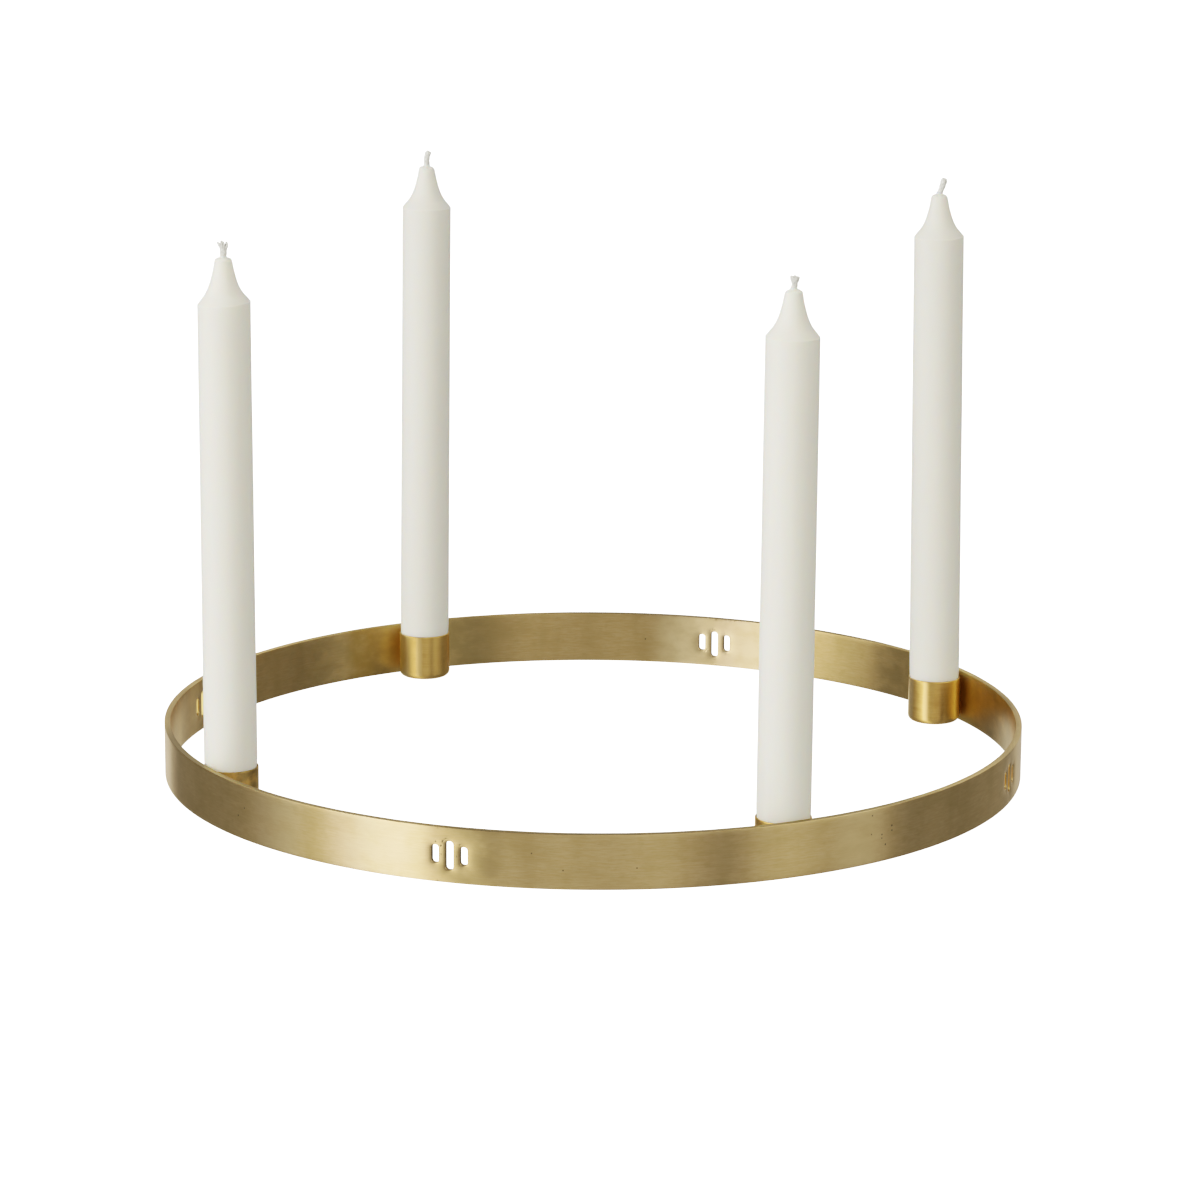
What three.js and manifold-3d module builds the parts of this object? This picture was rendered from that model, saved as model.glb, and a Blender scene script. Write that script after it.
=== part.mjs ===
// Ring candle holder: a flat brass band rolled into a ring and stood on edge,
// four thin drawn cups brazed to its inner face, and a dinner candle with its
// wick in each cup.
//
// Units are millimetres. +Z is up, the ring stands on z = 0, and its axis is
// the Z axis. Azimuths are measured from +X towards +Y.

import * as THREE from 'three';
import { mergeVertices } from 'three/addons/utils/BufferGeometryUtils.js';
import Module from 'manifold-3d';

// ---------------------------------------------------------------- dimensions

// Band
const RING_OUTER_R = 175.0;      // outer radius of the ring
const RING_WALL = 2.5;           // thickness of the strip
const RING_HEIGHT = 21.3;        // width of the strip, standing upright
const RING_EDGE_BREAK = 0.3;     // small chamfer on all four long edges
const RING_SEGMENTS = 180;

// Slots: four groups of three, a taller slot between two shorter ones
const SLOT_AZIMUTHS = [72, 162, 252, 342];
const SLOT_PITCH = 5.75;         // centre to centre, along the band
const SLOT_TALL = { width: 3.5, height: 11.6, corner: 1.45, z: 10.45 };
const SLOT_SHORT = { width: 3.3, height: 7.5, corner: 1.4, z: 10.6 };

// Cups
const CUP_OUTER_R = 10.95;
const CUP_WALL = 0.45;
const CUP_FLOOR = 0.5;
const CUP_HEIGHT = 18.8;
const CUP_BOTTOM_FILLET = 2.4;
const CUP_LIP_BREAK = 0.12;
const CUP_STAND_OFF = 0.35;      // braze space between cup and band
const CUP_SEGMENTS = 36;

// Braze between cup and band
const BRAZE_HALF_WIDTH = 3.5;    // along the band, each side of the nearest line
const BRAZE_BOTTOM = 2.2;        // above the cup's bottom
const BRAZE_TOP = 0.6;           // below the cup's rim
const BRAZE_GAP = 0.1;           // to the band and to the cup

// Seam where the two ends of the strip meet
const SEAM_AZIMUTH = 117.45;
const SEAM_WIDTH = 0.9;
const SEAM_FILLER_WIDTH = 0.5;

// Candles
const CANDLE_BASE_R = 10.2;      // foot, inside the cup
const CANDLE_BODY_R = 10.46;     // just above the cup's rim
const CANDLE_TOP_R = 10.22;      // at the shoulder
const CANDLE_FOOT_BREAK = 2.0;   // rounding that clears the cup's bottom fillet
const CANDLE_FOOT_GAP = 0.3;     // foot above the cup's floor
const CANDLE_BORE_R = 1.45;      // passage for the wick
const CANDLE_SEGMENTS = 28;
// concave crown from the shoulder to the blunt tip: height above the shoulder, radius
const CROWN = [
  [0.9, 9.4], [2.0, 8.5], [3.2, 7.55], [4.8, 6.6], [7.0, 5.7],
  [10.0, 4.73], [13.2, 3.95], [16.3, 3.36], [17.2, 2.4],
];

// Wicks
const WICK_R = 1.12;
const WICK_SIDES = 8;

// One place per cup, candle and wick. azimuth: place round the ring. lift: cup
// height above the common level. lean: tilt of the candle towards +X, degrees.
// shoulder: height of the candle's shoulder above the table. wick: points above
// the shoulder [x, y, z] and the wick's thickness there, as a factor.
const CUP_BASE_Z = 0.95;
const PLACES = [
  {
    name: 'back_right', azimuth: 26.2, lift: 0.0, lean: -0.67, shoulder: 208.4,
    wick: [[0, 0, 17.6, 1.0], [0.25, 0, 18.4, 1.0], [0.85, 0, 19.6, 1.0], [1.25, -0.1, 21.0, 1.08], [1.6, -0.2, 22.4, 1.14], [1.85, -0.25, 24.0, 1.1]],
  },
  {
    name: 'back_left', azimuth: 117.45, lift: -0.2, lean: 0.44, shoulder: 208.3,
    wick: [[0, 0, 17.6, 1.0], [-0.05, 0, 19.0, 1.04], [-0.08, 0, 20.4, 1.04], [0.03, 0, 21.8, 1.04], [0.3, 0, 23.0, 1.04], [0.85, 0, 24.4, 0.95]],
  },
  {
    name: 'front_left', azimuth: 207.8, lift: 0.0, lean: -0.10, shoulder: 204.6,
    wick: [[0, 0, 17.4, 1.0], [0.02, 0, 18.3, 1.05], [0.08, 0, 19.4, 1.25], [0.14, 0, 20.6, 1.45], [0.05, 0, 21.8, 1.75], [-0.15, 0, 23.4, 1.7]],
  },
  {
    name: 'front_right', azimuth: 296.7, lift: 0.45, lean: 0.22, shoulder: 205.3,
    wick: [[0, 0, 17.6, 1.0], [0.15, 0, 18.4, 1.0], [0.22, 0, 19.3, 1.12], [0.35, 0, 20.2, 1.35], [0.4, 0, 21.2, 1.45], [0.35, 0, 22.6, 1.4]],
  },
];

// ----------------------------------------------------------------- materials

const brassBand = new THREE.MeshStandardMaterial({ color: 0xb39a60, roughness: 0.38, metalness: 1.0 });
const brassCup = new THREE.MeshStandardMaterial({ color: 0xbd9a4c, roughness: 0.34, metalness: 1.0 });
const brazeMetal = new THREE.MeshStandardMaterial({ color: 0x8f7136, roughness: 0.5, metalness: 1.0 });
const wax = new THREE.MeshStandardMaterial({ color: 0xece9e0, roughness: 0.5, metalness: 0.0 });
const cotton = new THREE.MeshStandardMaterial({ color: 0xe2e0d8, roughness: 0.85, metalness: 0.0 });

// ------------------------------------------------------------------- helpers

const rad = THREE.MathUtils.degToRad;

const wasm = await Module();
wasm.setup();

function toSolid(geometry) {
  const g = geometry.clone();
  g.deleteAttribute('normal');
  g.deleteAttribute('uv');
  const merged = mergeVertices(g, 1e-4);
  return new wasm.Manifold(new wasm.Mesh({
    numProp: 3,
    vertProperties: new Float32Array(merged.attributes.position.array),
    triVerts: new Uint32Array(merged.index.array),
  }));
}

function toGeometry(solid) {
  const mesh = solid.getMesh();
  const g = new THREE.BufferGeometry();
  g.setAttribute('position', new THREE.BufferAttribute(new Float32Array(mesh.vertProperties), 3));
  g.setIndex(new THREE.BufferAttribute(new Uint32Array(mesh.triVerts), 1));
  g.computeVertexNormals();
  return g;
}

// Turned solid about +Z from a closed [radius, z] outline.
function turned(outline, segments) {
  const points = outline.map(([r, z]) => new THREE.Vector2(r, z));
  const g = new THREE.LatheGeometry(points, segments);
  g.rotateX(Math.PI / 2);
  return g;
}

// Points on a quarter circle from angle a to angle b (degrees), ends included.
function arc(cr, cz, r, a, b, steps) {
  const out = [];
  for (let i = 0; i <= steps; i += 1) {
    const t = rad(a + ((b - a) * i) / steps);
    out.push([cr + r * Math.cos(t), cz + r * Math.sin(t)]);
  }
  return out;
}

function roundedRectangle(width, height, corner) {
  const w = width / 2;
  const h = height / 2;
  const s = new THREE.Shape();
  s.moveTo(w, -h + corner);
  s.lineTo(w, h - corner);
  s.absarc(w - corner, h - corner, corner, 0, Math.PI / 2, false);
  s.lineTo(-w + corner, h);
  s.absarc(-w + corner, h - corner, corner, Math.PI / 2, Math.PI, false);
  s.lineTo(-w, -h + corner);
  s.absarc(-w + corner, -h + corner, corner, Math.PI, 1.5 * Math.PI, false);
  s.lineTo(w - corner, -h);
  s.absarc(w - corner, -h + corner, corner, 1.5 * Math.PI, 2 * Math.PI, false);
  return s;
}

function named(name, geometry, material) {
  const mesh = new THREE.Mesh(geometry, material.clone());
  mesh.name = name;
  return mesh;
}

// ---------------------------------------------------------------------- band

function makeBand() {
  const ro = RING_OUTER_R;
  const ri = RING_OUTER_R - RING_WALL;
  const e = RING_EDGE_BREAK;
  const h = RING_HEIGHT;
  let solid = toSolid(turned([
    [ri + e, 0], [ro - e, 0], [ro, e], [ro, h - e],
    [ro - e, h], [ri + e, h], [ri, h - e], [ri, e], [ri + e, 0],
  ], RING_SEGMENTS));

  // Each slot is cut square to the band at its own centre line.
  for (const azimuth of SLOT_AZIMUTHS) {
    for (const k of [-1, 0, 1]) {
      const slot = k === 0 ? SLOT_TALL : SLOT_SHORT;
      const turn = rad(azimuth) + (k * SLOT_PITCH) / (RING_OUTER_R - RING_WALL / 2);
      const g = new THREE.ExtrudeGeometry(
        roundedRectangle(slot.width, slot.height, slot.corner),
        { depth: 10, bevelEnabled: false, curveSegments: 3 },
      );
      // outline: width along the band, height upright; depth outward
      g.rotateY(Math.PI / 2);
      g.rotateX(Math.PI / 2);
      g.translate(RING_OUTER_R - 6, 0, slot.z);
      g.rotateZ(turn);
      solid = solid.subtract(toSolid(g));
    }
  }

  // The two ends of the strip stop short of each other at the seam.
  const cut = new THREE.BoxGeometry(10, SEAM_WIDTH, RING_HEIGHT + 4);
  cut.translate(RING_OUTER_R - RING_WALL / 2, 0, RING_HEIGHT / 2);
  cut.rotateZ(rad(SEAM_AZIMUTH));
  solid = solid.subtract(toSolid(cut));
  return toGeometry(solid);
}

// Filler in the seam, a little inside the band's own outline on every side.
function makeSeam() {
  const e = 0.08;
  const g = new THREE.BoxGeometry(RING_WALL - 2 * e, SEAM_FILLER_WIDTH, RING_HEIGHT - 2 * e);
  g.translate(RING_OUTER_R - RING_WALL / 2 - 0.02, 0, RING_HEIGHT / 2);
  g.rotateZ(rad(SEAM_AZIMUTH));
  return g;
}

// ---------------------------------------------------------------------- cups

function makeCup() {
  const ro = CUP_OUTER_R;
  const ri = CUP_OUTER_R - CUP_WALL;
  const f = CUP_BOTTOM_FILLET;
  const fi = f - CUP_WALL;
  const b = CUP_LIP_BREAK;
  const outline = [
    [0, 0],
    ...arc(ro - f, f, f, -90, 0, 4),
    [ro, CUP_HEIGHT - b],
    [ro - b, CUP_HEIGHT],
    [ri + b, CUP_HEIGHT],
    [ri, CUP_HEIGHT - b],
    ...arc(ri - fi, CUP_FLOOR + fi, fi, 0, -90, 3),
    [0, CUP_FLOOR],
  ];
  return turned(outline, CUP_SEGMENTS);
}

const cupCentreR = RING_OUTER_R - RING_WALL - CUP_STAND_OFF - CUP_OUTER_R;

// Thin film on the nearest line, thickening to a fillet on each side of it. The
// outline lies between the band's inner circle and the cup's outer circle.
function makeBraze(z0, z1) {
  const bandR = RING_OUTER_R - RING_WALL - BRAZE_GAP - 0.03;
  const cupR = CUP_OUTER_R + BRAZE_GAP;
  const steps = 10;
  const s = new THREE.Shape();
  for (let i = 0; i <= steps; i += 1) {
    const y = -BRAZE_HALF_WIDTH + (2 * BRAZE_HALF_WIDTH * i) / steps;
    const x = Math.sqrt(bandR * bandR - y * y);
    if (i === 0) s.moveTo(x, y); else s.lineTo(x, y);
  }
  for (let i = steps; i >= 0; i -= 1) {
    const y = -BRAZE_HALF_WIDTH + (2 * BRAZE_HALF_WIDTH * i) / steps;
    s.lineTo(cupCentreR + Math.sqrt(cupR * cupR - y * y), y);
  }
  s.closePath();
  const g = new THREE.ExtrudeGeometry(s, { depth: z1 - z0, bevelEnabled: false, curveSegments: 1 });
  g.translate(0, 0, z0);
  return g;
}

// ------------------------------------------------------------------- candles

// Local frame: z = 0 at the candle's foot, z axis along the candle.
function makeCandle(shoulder, rimZ) {
  const r0 = CANDLE_BASE_R;
  const b = CANDLE_FOOT_BREAK;
  const outline = [
    [CANDLE_BORE_R, 0],
    [r0 - b, 0],
    [r0 - b * 0.3, b * 0.3],
    [r0, b],
    [r0, rimZ - 0.8],
    [CANDLE_BODY_R - 0.1, rimZ + 1.2],
    [CANDLE_BODY_R, rimZ + 4],
    [(CANDLE_BODY_R + CANDLE_TOP_R) / 2, (rimZ + shoulder) / 2],
    [CANDLE_TOP_R, shoulder - 0.35],
    [CANDLE_TOP_R - 0.25, shoulder],
    ...CROWN.map(([z, r]) => [r, shoulder + z]),
    [CANDLE_BORE_R, shoulder + 17.4],
    [CANDLE_BORE_R, 0],
  ];
  return turned(outline, CANDLE_SEGMENTS);
}

// Wick: straight through the bore, then along its own bend above the tip. One
// ring of the extruded outline is set at each level, at that level's thickness.
function makeWick(shoulder, bend) {
  const levels = [
    [0, 0, 0.15, 1],
    [0, 0, shoulder * 0.5, 1],
    [0, 0, shoulder + 15, 1],
    ...bend.map(([x, y, z, k]) => [x, y, shoulder + z, k]),
  ];
  const outline = new THREE.Shape();
  outline.moveTo(WICK_R, 0);
  for (let i = 1; i < WICK_SIDES; i += 1) {
    const t = (2 * Math.PI * i) / WICK_SIDES;
    outline.lineTo(WICK_R * Math.cos(t), WICK_R * Math.sin(t));
  }
  outline.closePath();
  const n = levels.length - 1;
  const g = new THREE.ExtrudeGeometry(outline, {
    depth: 1, steps: n, bevelEnabled: false, curveSegments: 1,
  });
  const pos = g.attributes.position;
  for (let i = 0; i < pos.count; i += 1) {
    const [x, y, z, k] = levels[Math.round(pos.getZ(i) * n)];
    pos.setXYZ(i, x + pos.getX(i) * k, y + pos.getY(i) * k, z);
  }
  g.computeVertexNormals();
  return g;
}

// ------------------------------------------------------------------ assembly

const holder = new THREE.Group();
holder.name = 'ring_candle_holder';

holder.add(named('ring_band', makeBand(), brassBand));
holder.add(named('ring_seam_braze', makeSeam(), brazeMetal));

for (const place of PLACES) {
  const baseZ = CUP_BASE_Z + place.lift;

  // the cup and its braze are turned round the ring's axis to their azimuth
  const station = new THREE.Group();
  station.rotation.z = rad(place.azimuth);
  const cup = named(`cup_${place.name}`, makeCup(), brassCup);
  cup.position.set(cupCentreR, 0, baseZ);
  station.add(cup);
  station.add(named(
    `braze_joint_${place.name}`,
    makeBraze(baseZ + BRAZE_BOTTOM, baseZ + CUP_HEIGHT - BRAZE_TOP),
    brazeMetal,
  ));
  holder.add(station);

  // the candle stands on the cup's floor and leans a little about mid depth
  const a = rad(place.azimuth);
  const pivot = new THREE.Group();
  const pivotZ = baseZ + CUP_HEIGHT * 0.6;
  pivot.position.set(cupCentreR * Math.cos(a), cupCentreR * Math.sin(a), pivotZ);
  pivot.rotation.y = rad(place.lean);
  const footZ = baseZ + CUP_FLOOR + CANDLE_FOOT_GAP;
  const candle = named(
    `candle_${place.name}`,
    makeCandle(place.shoulder - footZ, baseZ + CUP_HEIGHT - footZ),
    wax,
  );
  const wick = named(`wick_${place.name}`, makeWick(place.shoulder - footZ, place.wick), cotton);
  candle.position.z = footZ - pivotZ;
  wick.position.z = footZ - pivotZ;
  pivot.add(candle, wick);
  holder.add(pivot);
}

export default holder;
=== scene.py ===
import math

import bpy
from mathutils import Matrix, Vector, geometry, noise


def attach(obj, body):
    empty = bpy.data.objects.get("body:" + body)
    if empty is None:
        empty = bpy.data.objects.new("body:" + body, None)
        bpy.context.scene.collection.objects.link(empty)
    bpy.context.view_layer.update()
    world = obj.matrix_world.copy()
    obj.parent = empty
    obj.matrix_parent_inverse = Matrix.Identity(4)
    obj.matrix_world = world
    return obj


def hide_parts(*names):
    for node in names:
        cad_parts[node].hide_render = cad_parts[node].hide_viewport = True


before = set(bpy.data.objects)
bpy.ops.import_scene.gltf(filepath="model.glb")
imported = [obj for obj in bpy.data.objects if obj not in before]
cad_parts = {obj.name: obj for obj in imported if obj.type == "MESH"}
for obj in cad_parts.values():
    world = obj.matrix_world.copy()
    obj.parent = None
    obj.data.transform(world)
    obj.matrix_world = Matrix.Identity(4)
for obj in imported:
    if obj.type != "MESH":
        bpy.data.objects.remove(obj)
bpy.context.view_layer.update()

MM = 0.001
TAU = 2.0 * math.pi

# ---------------------------------------------------------------- sizes, in millimetres
RING_OUTER_R = 175.0
RING_INNER_R = 172.5
RING_MID_R = 173.75
RING_HEIGHT = 21.6
RING_EDGE_R = 0.28          # worn round on the four long edges
RING_COLUMN = 1.45          # spacing of the columns along the strip
RING_ROWS = 13              # rows between the rounded long edges
RING_WAVE = 0.15            # how far the hand-bent strip wanders inward

SEAM_AZIMUTH = 117.45
SEAM_WIDTH = 0.9

SLOT_AZIMUTHS = (72.0, 162.0, 252.0, 342.0)
SLOT_PITCH = 5.75
SLOT_TALL = (3.2, 11.3, 1.4, 10.45)      # width, height, corner radius, centre height
SLOT_SHORT = (2.95, 7.2, 1.3, 10.75)
SLOT_NUDGE = {                           # hand-cut: azimuth, then shift along and up for the tall slot and its neighbours
    72.0: ((-0.2, -0.75), (-0.15, -0.25), (-0.2, -0.5)),
    252.0: ((0.2, 0.05), (0.22, 0.05), (0.15, -0.05)),
}
SLOT_EDGE_R = 0.24
SLOT_DISH = 0.30            # the buffed hollow round each slot
SLOT_DISH_REACH = 1.4
SLOT_BLOCK = 10.6           # half length of the strip that holds one group of slots

CUP_CENTRE_R = 161.2
CUP_OUTER_R = 10.95
CUP_WALL = 0.45
CUP_FLOOR = 0.5
CUP_HEIGHT = 18.8
CUP_FILLET = 2.4
CUP_BASE_Z = 0.95

BRAZE_HALF_WIDTH = 2.7
BRAZE_BOTTOM = 2.2
BRAZE_TOP = 0.6

PLACES = {
    # azimuth, lift, lean, shoulder height, body scale, shoulder slant, tip slant
    "back_right": dict(az=26.2, lift=0.0, lean=-0.67, shoulder=208.4, girth=1.006, slant=0.10, tip=-0.05, seed=11.0),
    "back_left": dict(az=117.45, lift=-0.2, rise=0.5, lean=0.44, shoulder=208.3, girth=1.006, slant=0.0, tip=-0.2, seed=23.0, satin=0.34),
    "front_left": dict(az=207.8, lift=0.0, lean=-0.10, shoulder=204.6, girth=1.0, slant=0.62, tip=-0.10, seed=37.0, dull=0.85, satin=0.42),
    "front_right": dict(az=296.7, lift=0.45, lean=0.22, shoulder=205.3, girth=1.0, slant=-0.15, tip=0.1, seed=53.0),
}
CANDLE_BASE_R = 10.2
CANDLE_BODY_R = 10.46
CANDLE_TOP_R = 10.24
CANDLE_FOOT_ROUND = 2.0
CANDLE_FOOT_GAP = 0.3
CROWN = ((0.0, 10.02), (0.5, 9.66), (1.1, 9.2), (2.0, 8.48), (2.9, 7.74), (4.1, 6.98), (5.2, 6.4), (6.4, 5.87),
         (7.6, 5.42), (8.8, 5.04), (10.0, 4.72), (11.1, 4.42), (12.3, 4.13), (13.4, 3.9), (14.6, 3.68), (15.5, 3.5))
TIP = ((16.0, 3.42), (16.4, 3.27), (16.8, 3.02), (17.1, 2.6), (17.3, 2.05), (17.48, 1.62), (17.8, 1.37), (18.25, 1.24),
       (18.5, 1.16), (18.55, 0.9))

# wick centre lines: x, y, height above the shoulder, radius
WICKS = {
    "back_right": ((0, 0, 16.6, 1.10), (0.12, 0, 17.8, 1.12), (0.42, 0, 18.8, 1.12), (0.95, -0.06, 20.2, 1.22),
                   (1.42, -0.14, 21.6, 1.28), (1.72, -0.22, 22.85, 1.3), (1.9, -0.25, 23.76, 1.18)),
    "back_left": ((0, 0, 16.6, 1.14), (-0.03, 0, 18.0, 1.16), (-0.08, 0, 19.4, 1.2), (-0.06, 0, 20.8, 1.22),
                  (0.08, 0, 21.9, 1.24), (0.42, 0, 22.9, 1.24), (0.95, 0, 23.35, 1.15)),
    "front_left": ((0, 0, 16.6, 1.12), (0.0, 0, 17.8, 1.14), (0.05, 0, 18.8, 1.3), (0.08, 0, 19.8, 1.4),
                   (0.1, 0, 20.8, 1.3)),
    "front_right": ((0, 0, 16.6, 1.12), (0.1, 0, 17.6, 1.12), (0.2, 0, 18.5, 1.1), (0.26, 0, 19.4, 1.12),
                    (0.3, 0, 20.3, 1.3), (0.32, 0, 21.15, 1.55), (0.3, 0, 21.95, 1.7)),
}

scene = bpy.context.scene


# ---------------------------------------------------------------- small helpers
def lerp(a, b, t):
    return a + (b - a) * t


def smooth(a, b, x):
    t = min(1.0, max(0.0, (x - a) / (b - a)))
    return t * t * (3.0 - 2.0 * t)


def spline(points, steps):
    """Points on a Catmull-Rom curve through tuples of any length."""
    out = []
    n = len(points)
    for i in range(n - 1):
        p0 = points[max(i - 1, 0)]
        p1, p2 = points[i], points[i + 1]
        p3 = points[min(i + 2, n - 1)]
        for k in range(steps):
            t = k / steps
            out.append(tuple(
                0.5 * (2 * b + (c - a) * t + (2 * a - 5 * b + 4 * c - d) * t * t + (3 * b - a - 3 * c + d) * t ** 3)
                for a, b, c, d in zip(p0, p1, p2, p3)))
    out.append(tuple(float(v) for v in points[-1]))
    return out


def new_piece(name, verts_mm, faces, body, nodes, material, grain=None, smooth_shading=True):
    mesh = bpy.data.meshes.new(name)
    mesh.from_pydata([(x * MM, y * MM, z * MM) for x, y, z in verts_mm], [], faces)
    mesh.validate()
    if grain is not None:
        layer = mesh.attributes.new("grain", "FLOAT_VECTOR", "POINT")
        flat = [c for g in grain for c in g]
        layer.data.foreach_set("vector", flat)
    if smooth_shading:
        mesh.polygons.foreach_set("use_smooth", [True] * len(mesh.polygons))
    mesh.update()
    obj = bpy.data.objects.new(name, mesh)
    scene.collection.objects.link(obj)
    obj.data.materials.append(material)
    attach(obj, body)
    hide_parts(*nodes)
    return obj


# ---------------------------------------------------------------- node helpers
class Graph:
    """Builds shader nodes with few words."""

    def __init__(self, tree):
        self.t = tree
        self.x = -1800

    def node(self, kind, **props):
        n = self.t.nodes.new(kind)
        self.x += 40
        n.location = (self.x, 300 - (self.x * 7) % 900)
        for k, v in props.items():
            setattr(n, k, v)
        return n

    def put(self, socket, value):
        if isinstance(value, bpy.types.NodeSocket):
            self.t.links.new(value, socket)
        elif value is not None:
            socket.default_value = value

    def math(self, op, a, b=None, c=None, clamp=False):
        n = self.node("ShaderNodeMath", operation=op, use_clamp=clamp)
        self.put(n.inputs[0], a)
        self.put(n.inputs[1], b)
        self.put(n.inputs[2], c)
        return n.outputs[0]

    def ramp(self, value, lo, hi, to_lo=0.0, to_hi=1.0, soft=True):
        n = self.node("ShaderNodeMapRange", interpolation_type="SMOOTHSTEP" if soft else "LINEAR")
        self.put(n.inputs["Value"], value)
        n.inputs["From Min"].default_value = lo
        n.inputs["From Max"].default_value = hi
        self.put(n.inputs["To Min"], to_lo)
        self.put(n.inputs["To Max"], to_hi)
        return n.outputs[0]

    def mix(self, fac, a, b, blend="MIX"):
        n = self.node("ShaderNodeMix", data_type="RGBA", blend_type=blend)
        self.put(n.inputs[0], fac)
        self.put(n.inputs[6], a)
        self.put(n.inputs[7], b)
        return n.outputs[2]

    def scale(self, vector, sx, sy, sz, offset=(0, 0, 0)):
        n = self.node("ShaderNodeMapping")
        self.put(n.inputs["Vector"], vector)
        n.inputs["Scale"].default_value = (sx, sy, sz)
        n.inputs["Location"].default_value = offset
        return n.outputs[0]

    def noise(self, vector, scale=1.0, detail=2.0, rough=0.5, distort=0.0):
        n = self.node("ShaderNodeTexNoise")
        self.put(n.inputs["Vector"], vector)
        n.inputs["Scale"].default_value = scale
        n.inputs["Detail"].default_value = detail
        n.inputs["Roughness"].default_value = rough
        n.inputs["Distortion"].default_value = distort
        return n.outputs[0]

    def attribute(self, name="grain"):
        n = self.node("ShaderNodeAttribute", attribute_name=name)
        return n.outputs["Vector"]

    def split(self, vector):
        n = self.node("ShaderNodeSeparateXYZ")
        self.put(n.inputs[0], vector)
        return n.outputs

    def bump(self, height, strength, distance, normal=None):
        n = self.node("ShaderNodeBump")
        n.inputs["Strength"].default_value = strength
        n.inputs["Distance"].default_value = distance
        self.put(n.inputs["Height"], height)
        if normal is not None:
            self.put(n.inputs["Normal"], normal)
        return n.outputs[0]


def new_material(name):
    mat = bpy.data.materials.new(name)
    mat.use_nodes = True
    tree = mat.node_tree
    tree.nodes.clear()
    g = Graph(tree)
    out = g.node("ShaderNodeOutputMaterial")
    bsdf = g.node("ShaderNodeBsdfPrincipled")
    tree.links.new(bsdf.outputs[0], out.inputs["Surface"])
    return mat, g, bsdf


def tangent_down(g):
    return g.node("ShaderNodeTangent", direction_type="RADIAL", axis="Z").outputs[0]


# ---------------------------------------------------------------- brass
BAND_BASE = (0.800, 0.574, 0.262, 1.0)
BAND_PALE = (0.880, 0.660, 0.340, 1.0)
BAND_OLIVE = (0.660, 0.480, 0.200, 1.0)
HEAT_TINT_AND_SHADE = (0.600, 0.450, 0.185, 1.0)
CUP_PAINTED_LIGHT_AND_SHADE = {                                       # cup flanks with painted highlights and painted shade: world azimuth, half width, strength, colour
    "back_left": ((203.0, 42.0, 0.9, (0.890, 0.710, 0.320, 1.0)), (310.0, 34.0, 0.60, (0.560, 0.380, 0.120, 1.0)),
                  (240.0, 13.0, 0.6, (0.620, 0.410, 0.130, 1.0)), (259.0, 11.0, 0.9, (0.980, 0.700, 0.300, 1.0)),
                  (348.0, 24.0, 0.55, (0.600, 0.400, 0.130, 1.0))),
    "back_right": ((306.0, 22.0, 0.75, (0.600, 0.400, 0.120, 1.0)), (345.0, 32.0, 0.95, (0.980, 0.760, 0.290, 1.0)),
                   (192.0, 25.0, 0.9, (0.980, 0.790, 0.450, 1.0)), (247.0, 10.0, 0.9, (0.980, 0.690, 0.300, 1.0))),
}
GAP_PAINTED_LIGHT = (0.950, 0.760, 0.340, 1.0)       # painted light: a paler tone laid on the inner face in the narrow gap behind each cup, to lift the shade there
INSIDE_PAINTED_SHADE = (0.83, 0.820, 0.770, 1.0)     # painted shade: the inside of the strip is painted browner
CUP_BASE = (0.815, 0.530, 0.165, 1.0)
CUP_PALE = (0.880, 0.590, 0.205, 1.0)


# small casting pits, painted as dark spots that stand for the shade in their hollows: side (0 outer, 1 inner), place
# along the strip, height, radius, all in millimetres
PITS = (
    (0, 586.5, 13.4, 0.42), (0, 586.6, 11.5, 0.34), (0, 581.4, 10.7, 0.36), (0, 581.4, 9.3, 0.30), (0, 583.3, 6.5, 0.38),
    (0, 576.4, 19.1, 0.34), (0, 576.1, 11.7, 0.30), (0, 451.7, 7.5, 0.32), (0, 439.9, 13.8, 0.30), (0, 479.2, 8.5, 0.30),
    (0, 305.6, 9.0, 0.34), (0, 309.8, 12.8, 0.30), (1, 985.2, 10.3, 0.34),
)


# browner stretches, partly tarnish and partly painted shade beside the cups and slots: side, place along the strip,
# half length, strength
TARNISH_AND_SHADE = ((1, 768.0, 29.0, 0.76), (1, 755.0, 16.0, 0.55), (1, 861.0, 17.0, 0.62), (1, 830.0, 13.0, 0.80), (1, 828.0, 9.0, 0.60), (1, 41.0, 22.0, 0.48), (1, 1069.0, 19.0, 0.50),
           (1, 19.0, 14.0, 0.45), (1, 160.0, 9.0, 0.30), (0, 679.0, 14.0, 0.40), (0, 300.0, 18.0, 0.12), (0, 419.0, 15.0, 0.62), (0, 406.0, 10.0, 0.45))
# stretches of painted highlight and painted reflection, and one of painted shade beside the back-left cup, given the
# same way; the inside's painted shade is laid over them, so a tone there may be above one
PAINTED_LIGHT_AND_SHADE = ((1, 940.0, 24.0, 0.75, (1.05, 0.835, 0.555, 1.0)), (1, 967.0, 19.0, 0.98, (1.19, 0.94, 0.56, 1.0)),
          (0, 571.0, 18.0, 0.60, (0.96, 0.74, 0.39, 1.0)), (0, 329.0, 21.0, 0.44, (0.97, 0.78, 0.46, 1.0)),
          (0, 378.0, 30.0, 0.50, (0.97, 0.79, 0.52, 1.0)), (1, 26.0, 11.0, 0.50, (0.43, 0.26, 0.03, 1.0)),
          (1, 146.0, 8.0, 0.50, (1.08, 0.84, 0.44, 1.0)))


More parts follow.
